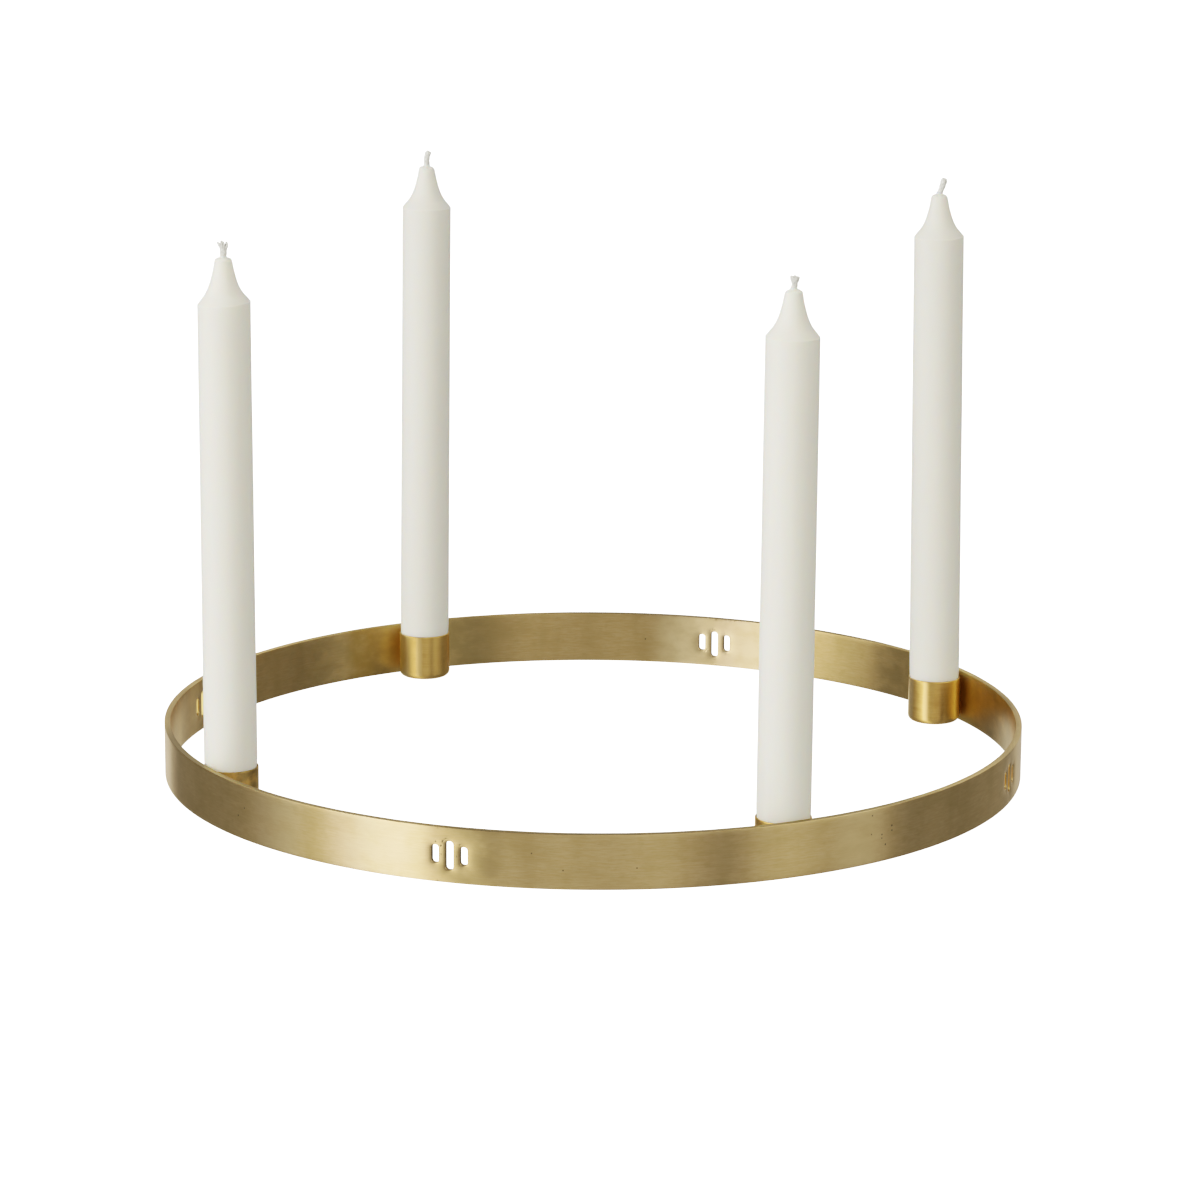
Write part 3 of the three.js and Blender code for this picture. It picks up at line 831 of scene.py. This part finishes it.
# ---------------------------------------------------------------- candles
def candle_frame(place):
    az = math.radians(place["az"])
    base = CUP_BASE_Z + place["lift"]
    pivot = Vector((CUP_CENTRE_R * math.cos(az), CUP_CENTRE_R * math.sin(az), base + CUP_HEIGHT * 0.6))
    turn = Matrix.Rotation(math.radians(place["lean"]), 3, "Y")
    return base, pivot, turn


def build_candle(place):
    base, pivot, turn = candle_frame(place)
    foot = base + CUP_FLOOR + CANDLE_FOOT_GAP
    rim = base + CUP_HEIGHT
    sh = place["shoulder"]
    girth = place["girth"]
    c = CANDLE_FOOT_ROUND
    profile = [(0.0, foot), (3.0, foot), (6.0, foot)]
    profile += arc_points(CANDLE_BASE_R - c, foot + c, c, -90, 0, 8)
    low = [(CANDLE_BASE_R, lerp(foot + c, rim - 0.9, k / 5)) for k in range(1, 6)]
    profile += low
    profile += [(CANDLE_BASE_R + 0.04, rim - 0.3), (CANDLE_BASE_R + 0.12, rim + 0.5), (10.38, rim + 1.6), (10.44, rim + 3.0)]
    start, stop = rim + 4.5, sh - 1.0
    steps = 70
    body = []
    for k in range(steps + 1):
        t = k / steps
        z = lerp(start, stop, t)
        body.append((lerp(CANDLE_BODY_R, CANDLE_TOP_R, t) * lerp(1.0, girth, smooth(0, 0.04, t)), z))
    profile += body
    top_r = CANDLE_TOP_R * girth
    # the moulded edge: a narrow crisp round, then the hollow crown
    profile += [(top_r, sh - 0.6), (top_r - 0.005, sh - 0.35), (top_r - 0.03, sh - 0.2), (top_r - 0.08, sh - 0.08),
                (top_r - 0.16, sh + 0.0)]
    crown = [(0.12, top_r - 0.3)] + [(z, r * lerp(girth, 1.0, min(1.0, z / 5))) for z, r in CROWN[1:]]
    crown += list(TIP)
    for z, r in spline(crown, 3):
        profile.append((r, sh + z))
    tip_z = sh + TIP[-1][0] - 0.3
    profile += [(0.5, tip_z), (0.0, tip_z)]
    slant, tip, seed = place["slant"], place["tip"], place["seed"]

    def at(r, a, z):
        h = z - sh
        x, y = r * math.cos(a), r * math.sin(a)
        # cast wax is never quite round
        if r > 1.6:
            n1 = noise.noise(Vector((math.cos(a) * 0.8 + seed, math.sin(a) * 0.8, z / 38.0)))
            n2 = noise.noise(Vector((math.cos(a) * 2.6, math.sin(a) * 2.6 + seed, z / 9.0)))
            above = smooth(rim + 0.5, rim + 6.0, z)
            d = (0.05 * n1 + 0.022 * n2) * above
            x += d * math.cos(a)
            y += d * math.sin(a)
        zz = z
        if h > -14.0:
            near = smooth(-14.0, -0.5, h) * (1 - smooth(0.5, 9.0, h))
            zz += slant * (x / CANDLE_TOP_R) * near
            lump = noise.noise(Vector((math.cos(a) * 1.7 + seed, math.sin(a) * 1.7, 4.0)))
            zz += 0.16 * lump * near
        if h > 13.5:
            near = smooth(13.5, 15.8, h) * (1 - smooth(17.9, 18.4, h))
            zz += (tip * x / 3.0 + 0.22 * noise.noise(Vector((x * 0.7 + seed, y * 0.7, 2.0)))) * near
        p = pivot + turn @ Vector((x, y, zz - pivot.z))
        return tuple(p), (x + seed * 5, zz, y)

    return lathe(profile, 112, at)


for name, place in PLACES.items():
    verts, faces, grain = build_candle(place)
    new_piece("candle_wax_" + name, verts, faces, name + "_candle", ["candle_" + name], WAX, grain)


# ---------------------------------------------------------------- wicks
def sweep(path, around, section, cap_low=True, cap_high=True):
    """A closed tube along path, a list of (point, radius); section(angle, along) scales the radius."""
    points = [Vector(p) for p, _ in path]
    n = len(points)
    tangents = []
    for i in range(n):
        a, b = points[max(i - 1, 0)], points[min(i + 1, n - 1)]
        tangents.append((b - a).normalized())
    up = Vector((0, 1, 0))
    side = tangents[0].cross(up).normalized()
    verts, coords, faces = [], [], []
    along = 0.0
    for i in range(n):
        if i:
            along += (points[i] - points[i - 1]).length
            side = (side - tangents[i] * side.dot(tangents[i])).normalized()
        other = tangents[i].cross(side).normalized()
        for k in range(around):
            a = TAU * k / around
            r = path[i][1] * section(a, along, i / (n - 1))
            verts.append(points[i] + side * (r * math.cos(a)) + other * (r * math.sin(a)))
            coords.append((a, along))
    for i in range(n - 1):
        for k in range(around):
            m = (k + 1) % around
            faces.append((i * around + k, i * around + m, (i + 1) * around + m, (i + 1) * around + k))
    if cap_low:
        faces.append(tuple(reversed(range(around))))
    if cap_high:
        faces.append(tuple((n - 1) * around + k for k in range(around)))
    return verts, coords, faces


def rounded_path(points, steps, cap):
    """Spline points (x, y, z, r) into a path whose end closes as a dome of length cap."""
    fine = spline(points, steps)
    path = [((x, y, z), r) for x, y, z, r in fine]
    (x1, y1, z1), r1 = path[-1]
    x0, y0, z0 = path[-2][0]
    t = (Vector((x1, y1, z1)) - Vector((x0, y0, z0))).normalized()
    for k in range(1, 6):
        a = k / 5 * math.pi / 2 * 0.97
        p = Vector((x1, y1, z1)) + t * (cap * math.sin(a))
        path.append((tuple(p), r1 * math.cos(a)))
    return path


STRANDS = {
    # loose ends of each braid: centre-line points x, y, z above the shoulder, radius
    "front_left": (
        ((-0.25, 0.1, 18.2, 0.42), (-0.6, 0.15, 19.8, 0.48), (-1.0, 0.2, 21.3, 0.5), (-1.65, 0.25, 22.4, 0.46), (-2.15, 0.3, 23.1, 0.30)),
        ((-0.2, -0.5, 18.2, 0.42), (-0.5, -0.6, 19.8, 0.5), (-0.85, -0.65, 21.4, 0.52), (-1.35, -0.7, 22.6, 0.45), (-1.75, -0.7, 23.35, 0.26)),
        ((-0.1, 0.4, 18.2, 0.42), (-0.3, 0.7, 19.9, 0.5), (-0.4, 0.9, 21.6, 0.5), (-0.55, 1.0, 22.9, 0.42), (-0.8, 1.1, 23.7, 0.26)),
        ((0.0, -0.4, 18.2, 0.42), (-0.1, -0.65, 19.9, 0.52), (-0.25, -0.8, 21.5, 0.52), (-0.5, -0.9, 22.8, 0.46), (-0.75, -0.9, 23.65, 0.28)),
        ((0.1, 0.3, 18.2, 0.42), (0.2, 0.5, 19.9, 0.5), (0.25, 0.55, 21.4, 0.5), (0.1, 0.6, 22.7, 0.44), (-0.15, 0.6, 23.5, 0.26)),
        ((0.15, -0.4, 18.2, 0.42), (0.3, -0.6, 19.8, 0.5), (0.4, -0.7, 21.2, 0.48), (0.35, -0.75, 22.3, 0.42), (0.2, -0.7, 23.1, 0.26)),
        ((0.3, 0.0, 18.2, 0.42), (0.75, 0.0, 19.7, 0.5), (1.15, 0.0, 21.0, 0.48), (1.5, 0.0, 22.1, 0.44), (1.45, -0.05, 23.1, 0.34), (1.15, -0.1, 23.55, 0.2)),
        ((0.3, -0.3, 18.2, 0.40), (0.7, -0.45, 19.6, 0.48), (1.05, -0.55, 20.9, 0.46), (1.45, -0.55, 21.9, 0.42), (1.75, -0.5, 22.7, 0.30)),
        ((0.25, 0.35, 18.2, 0.40), (0.6, 0.55, 19.6, 0.46), (0.85, 0.75, 21.0, 0.44), (1.05, 0.85, 22.2, 0.38), (1.1, 0.9, 23.3, 0.22)),
    ),
    "front_right": (
        ((-0.1, 0.1, 18.6, 0.5), (-0.35, 0.15, 20.2, 0.6), (-0.75, 0.2, 21.5, 0.62), (-1.0, 0.2, 22.2, 0.5)),
        ((0.0, -0.5, 18.6, 0.5), (-0.2, -0.7, 20.2, 0.6), (-0.45, -0.8, 21.5, 0.64), (-0.6, -0.8, 22.25, 0.5)),
        ((0.3, 0.5, 18.6, 0.5), (0.3, 0.75, 20.2, 0.6), (0.3, 0.85, 21.5, 0.64), (0.35, 0.9, 22.25, 0.5)),
        ((0.4, -0.4, 18.6, 0.5), (0.5, -0.6, 20.2, 0.6), (0.7, -0.7, 21.4, 0.66), (0.9, -0.7, 22.15, 0.55)),
        ((0.5, 0.1, 18.6, 0.5), (0.75, 0.1, 20.3, 0.6), (1.25, 0.05, 21.25, 0.66), (1.65, 0.0, 21.9, 0.5)),
    ),
    "back_left": (
        ((0.3, 0.2, 21.7, 0.5), (0.75, 0.25, 23.0, 0.56), (1.3, 0.25, 23.33, 0.46), (1.62, 0.2, 23.18, 0.25)),
        ((0.0, -0.3, 21.7, 0.5), (0.25, -0.45, 23.05, 0.5), (0.7, -0.5, 23.58, 0.4), (1.05, -0.5, 23.61, 0.22)),
    ),
    "back_right": (
        ((1.3, 0.1, 22.0, 0.5), (1.35, 0.25, 23.05, 0.55), (1.3, 0.3, 23.75, 0.42), (1.3, 0.3, 23.98, 0.2)),
        ((1.8, -0.4, 22.1, 0.5), (2.15, -0.55, 23.1, 0.55), (2.35, -0.6, 23.7, 0.42), (2.4, -0.6, 23.98, 0.2)),
    ),
}


def build_wick(name, place):
    base, pivot, turn = candle_frame(place)
    sh = place["shoulder"]
    verts, grain, faces = [], [], []

    def add(path, around, section, twist):
        points, coords, quads = sweep(path, around, section)
        first = len(verts)
        for p, (a, along) in zip(points, coords):
            q = pivot + turn @ (p + Vector((0, 0, sh - pivot.z)))
            verts.append(tuple(q))
            grain.append((a * 0.6 + twist * along, along, first * 0.013 + place["seed"]))
        faces.extend(tuple(first + k for k in f) for f in quads)

    def braid(a, along, t):
        turns = TAU / 2.1
        ridge = max(math.cos(4 * a + turns * along), math.cos(4 * a - turns * along))
        hair = noise.noise(Vector((math.cos(a) * 3.0, math.sin(a) * 3.0, along * 1.4 + place["seed"])))
        return 1.0 + 0.085 * (ridge - 0.4) * (1 - smooth(0.95, 1.0, t)) + 0.07 * hair

    def plied(a, along, t):
        ridge = math.cos(3 * a + TAU / 1.4 * along)
        hair = noise.noise(Vector((math.cos(a) * 2.0 + place["seed"], math.sin(a) * 2.0, along * 1.1)))
        return 1.0 + 0.13 * ridge * (1 - smooth(0.92, 1.0, t)) + 0.15 * hair

    add(rounded_path(WICKS[name], 9, 0.45 if name in ("back_left", "back_right") else 0.25), 32, braid, 0.9)
    for strand in STRANDS[name]:
        add(rounded_path(strand, 6, strand[-1][3] * 0.9), 14, plied, 1.6)
    return verts, faces, grain


for name, place in PLACES.items():
    verts, faces, grain = build_wick(name, place)
    new_piece("wick_braid_" + name, verts, faces, name + "_candle", ["wick_" + name], COTTON, grain)


# ---------------------------------------------------------------- floor
def build_floor():
    verts, faces = [(0.0, 0.0, -0.00012)], []
    radii = (0.3, 0.8, 2.0, 4.0, 7.0)
    n = 72
    for r in radii:
        for k in range(n):
            verts.append((r * math.cos(TAU * k / n), r * math.sin(TAU * k / n), -0.00012))
    for k in range(n):
        m = (k + 1) % n
        faces.append((0, 1 + k, 1 + m))
        for j in range(len(radii) - 1):
            a, b = 1 + j * n, 1 + (j + 1) * n
            faces.append((a + k, b + k, b + m, a + m))
    mesh = bpy.data.meshes.new("studio_floor")
    mesh.from_pydata(verts, [], faces)
    mesh.update()
    obj = bpy.data.objects.new("studio_floor", mesh)
    scene.collection.objects.link(obj)
    mat, g, bsdf = new_material("studio_floor_white")
    bsdf.inputs["Base Color"].default_value = (0.9, 0.9, 0.9, 1.0)
    bsdf.inputs["Roughness"].default_value = 0.9
    bsdf.inputs["Specular IOR Level"].default_value = 0.0
    bsdf.inputs["Emission Color"].default_value = (1.0, 1.0, 1.0, 1.0)
    bsdf.inputs["Emission Strength"].default_value = 2.3
    obj.data.materials.append(mat)
    obj.visible_glossy = False
    obj.visible_diffuse = False
    obj.visible_transmission = False
    obj.visible_shadow = False
    return obj


floor = build_floor()

# ---------------------------------------------------------------- studio light
# Soft banks round the object, given by azimuth and half width in degrees and by lowest and highest sine of
# elevation. They light the object only; the camera sees a plain white sweep.
AMBIENT = 0.01
BANKS = (
    # azimuth, half width, softness, low, high, softness, strength
    ( 10.0,   7.0,  6.0, -1.20, 0.00, 0.03, 0.20),      # mirrored in the table
    ( 30.0,  15.0, 11.0, -1.20, 0.00, 0.03, 0.20),
    ( 70.0,   7.0,  6.0, -1.20, 0.00, 0.03, 0.29),
    ( 80.0,  30.0, 20.0, -1.20, 0.00, 0.03, 0.42),
    (110.0,   7.0,  6.0, -1.20, 0.00, 0.03, 0.99),
    (130.0,   7.0,  6.0, -1.20, 0.00, 0.03, 0.19),
    (150.0,  15.0, 11.0, -1.20, 0.00, 0.03, 0.23),
    (200.0,  30.0, 20.0, -1.20, 0.00, 0.03, 0.37),
    (210.0,  15.0, 11.0, -1.20, 0.00, 0.03, 0.19),
    (220.0,  15.0, 11.0, -1.20, 0.00, 0.03, 0.75),
    (230.0,  15.0, 11.0, -1.20, 0.00, 0.03, 0.25),
    (240.0,  30.0, 20.0, -1.20, 0.00, 0.03, 0.38),
    (260.0,   7.0,  6.0, -1.20, 0.00, 0.03, 0.15),
    (270.0,  15.0, 11.0, -1.20, 0.00, 0.03, 0.03),
    (280.0,  15.0, 11.0, -1.20, 0.00, 0.03, 0.18),
    (290.0,   7.0,  6.0, -1.20, 0.00, 0.03, 0.17),
    (290.0,  15.0, 11.0, -1.20, 0.00, 0.03, 0.11),
    (320.0,   7.0,  6.0, -1.20, 0.00, 0.03, 0.34),
    (330.0,  15.0, 11.0, -1.20, 0.00, 0.03, 0.18),
    (350.0,   7.0,  6.0, -1.20, 0.00, 0.03, 0.32),
    ( 60.0,  32.0, 20.0,  0.00, 0.42, 0.05, 0.58),      # low banks round the object
    (110.0,  18.0, 13.0,  0.00, 0.42, 0.05, 0.43),
    (200.0,  18.0, 13.0,  0.00, 0.42, 0.05, 1.21),
    (200.0,  32.0, 20.0,  0.00, 0.42, 0.05, 0.89),
    (210.0,  18.0, 13.0,  0.00, 0.42, 0.05, 1.59),
    (280.0,  18.0, 13.0,  0.00, 0.42, 0.05, 0.47),
    (300.0,  32.0, 20.0,  0.00, 0.42, 0.05, 0.45),
    (320.0,  32.0, 20.0,  0.00, 0.42, 0.05, 0.51),
    (330.0,  18.0, 13.0,  0.00, 0.42, 0.05, 0.61),
    (340.0,  18.0, 13.0,  0.00, 0.42, 0.05, 0.75),
    (  0.0, 200.0,  1.0,  0.42, 0.77, 0.06, 1.16),      # high banks
)


def build_world():
    world = bpy.data.worlds.new("studio")
    scene.world = world
    world.use_nodes = True
    tree = world.node_tree
    tree.nodes.clear()
    g = Graph(tree)
    out = g.node("ShaderNodeOutputWorld")
    coord = g.node("ShaderNodeTexCoord")
    x, y, z = g.split(coord.outputs["Generated"])
    azimuth = g.math("ARCTAN2", y, x)
    total = AMBIENT
    for az, half, soft, low, high, esoft, strength in BANKS:
        turn = g.math("WRAP", g.math("SUBTRACT", azimuth, math.radians(az)), math.pi, -math.pi)
        across = g.ramp(g.math("ABSOLUTE", turn), math.radians(half - soft), math.radians(half + soft), 1.0, 0.0)
        up = g.math("MULTIPLY", g.ramp(z, low - esoft, low + esoft), g.ramp(z, high - esoft, high + esoft, 1.0, 0.0))
        amount = g.math("MULTIPLY", g.math("MULTIPLY", across, up), strength)
        total = g.math("ADD", total, amount)
    light = g.node("ShaderNodeBackground")
    g.put(light.inputs["Color"], total)
    plain = g.node("ShaderNodeBackground")
    plain.inputs["Color"].default_value = (1.0, 1.0, 1.0, 1.0)
    plain.inputs["Strength"].default_value = 3.0
    ray = g.node("ShaderNodeLightPath")
    both = g.node("ShaderNodeMixShader")
    tree.links.new(ray.outputs["Is Camera Ray"], both.inputs[0])
    tree.links.new(light.outputs[0], both.inputs[1])
    tree.links.new(plain.outputs[0], both.inputs[2])
    tree.links.new(both.outputs[0], out.inputs["Surface"])
    return world


build_world()


def add_softbox(name, azimuth, elevation, distance, size, power, colour):
    """A soft lamp for the wax and cotton; the brass sees the banks above instead."""
    data = bpy.data.lights.new(name, "AREA")
    data.shape = "RECTANGLE"
    data.size = data.size_y = size
    data.energy = power
    data.color = colour
    obj = bpy.data.objects.new(name, data)
    scene.collection.objects.link(obj)
    az, el = math.radians(azimuth), math.radians(elevation)
    away = Vector((math.cos(az) * math.cos(el), math.sin(az) * math.cos(el), math.sin(el)))
    obj.location = away * distance + Vector((0.0, 0.0, 0.11))
    obj.rotation_euler = (-away).to_track_quat("-Z", "Y").to_euler()
    obj.visible_camera = False
    obj.visible_glossy = False
    return obj


add_softbox("key_softbox", 210.0, 24.0, 2.6, 1.4, 33.0, (1.0, 0.995, 0.965))
add_softbox("front_softbox", 275.0, 35.0, 2.8, 1.6, 13.0, (1.0, 0.955, 0.76))
add_softbox("fill_softbox", 335.0, 20.0, 2.8, 1.6, 6.0, (1.0, 0.87, 0.15))

# ---------------------------------------------------------------- camera
CAMERA_AT = (0.0, -1852.388, 517.960)
YAW, PITCH, ROLL = 0.00134, 0.23757, 0.00588
cam_data = bpy.data.cameras.new("camera")
cam_data.sensor_fit = "HORIZONTAL"
cam_data.sensor_width = 36.0
cam_data.lens = 36.0 * 4682.479 / 1200.0
cam_data.clip_start = 0.05
cam_data.clip_end = 60.0
camera = bpy.data.objects.new("camera", cam_data)
scene.collection.objects.link(camera)
ahead = Vector((math.sin(YAW) * math.cos(PITCH), math.cos(YAW) * math.cos(PITCH), -math.sin(PITCH)))
right = Vector((math.cos(YAW), -math.sin(YAW), 0.0))
up = right.cross(ahead)
right_r = right * math.cos(ROLL) + up * math.sin(ROLL)
up_r = -right * math.sin(ROLL) + up * math.cos(ROLL)
camera.matrix_world = Matrix((
    (right_r.x, up_r.x, -ahead.x, CAMERA_AT[0] * MM),
    (right_r.y, up_r.y, -ahead.y, CAMERA_AT[1] * MM),
    (right_r.z, up_r.z, -ahead.z, CAMERA_AT[2] * MM),
    (0.0, 0.0, 0.0, 1.0),
))
scene.camera = camera

# ---------------------------------------------------------------- picture
view = scene.view_settings
scene.display_settings.display_device = "sRGB"
view.view_transform = "Standard"
view.look = "None"
view.exposure = 0.0
view.gamma = 1.0
WHITE = 2.2                 # linear level that prints as white
TONE = ((0.0, 0.0), (0.02, 0.012), (0.05, 0.037), (0.10, 0.085), (0.17, 0.159), (0.30, 0.298), (0.37, 0.363), (0.46, 0.435),
        (0.60, 0.530), (0.80, 0.643), (1.00, 0.735), (1.25, 0.815), (1.60, 0.905), (2.20, 1.0))
view.use_curve_mapping = True
curves = view.curve_mapping
curves.white_level = (WHITE, WHITE, WHITE)
curve = curves.curves[3]
while len(curve.points) < len(TONE):
    curve.points.new(0.5, 0.5)
for point, (x, y) in zip(curve.points, TONE):
    point.location = (x / WHITE, y)
    point.handle_type = "VECTOR"
curves.update()

scene.cycles.use_denoising = True
scene.cycles.max_bounces = 10
scene.cycles.diffuse_bounces = 5
scene.cycles.glossy_bounces = 6
scene.cycles.transmission_bounces = 4
scene.cycles.sample_clamp_indirect = 6.0
scene.cycles.caustics_refractive = False
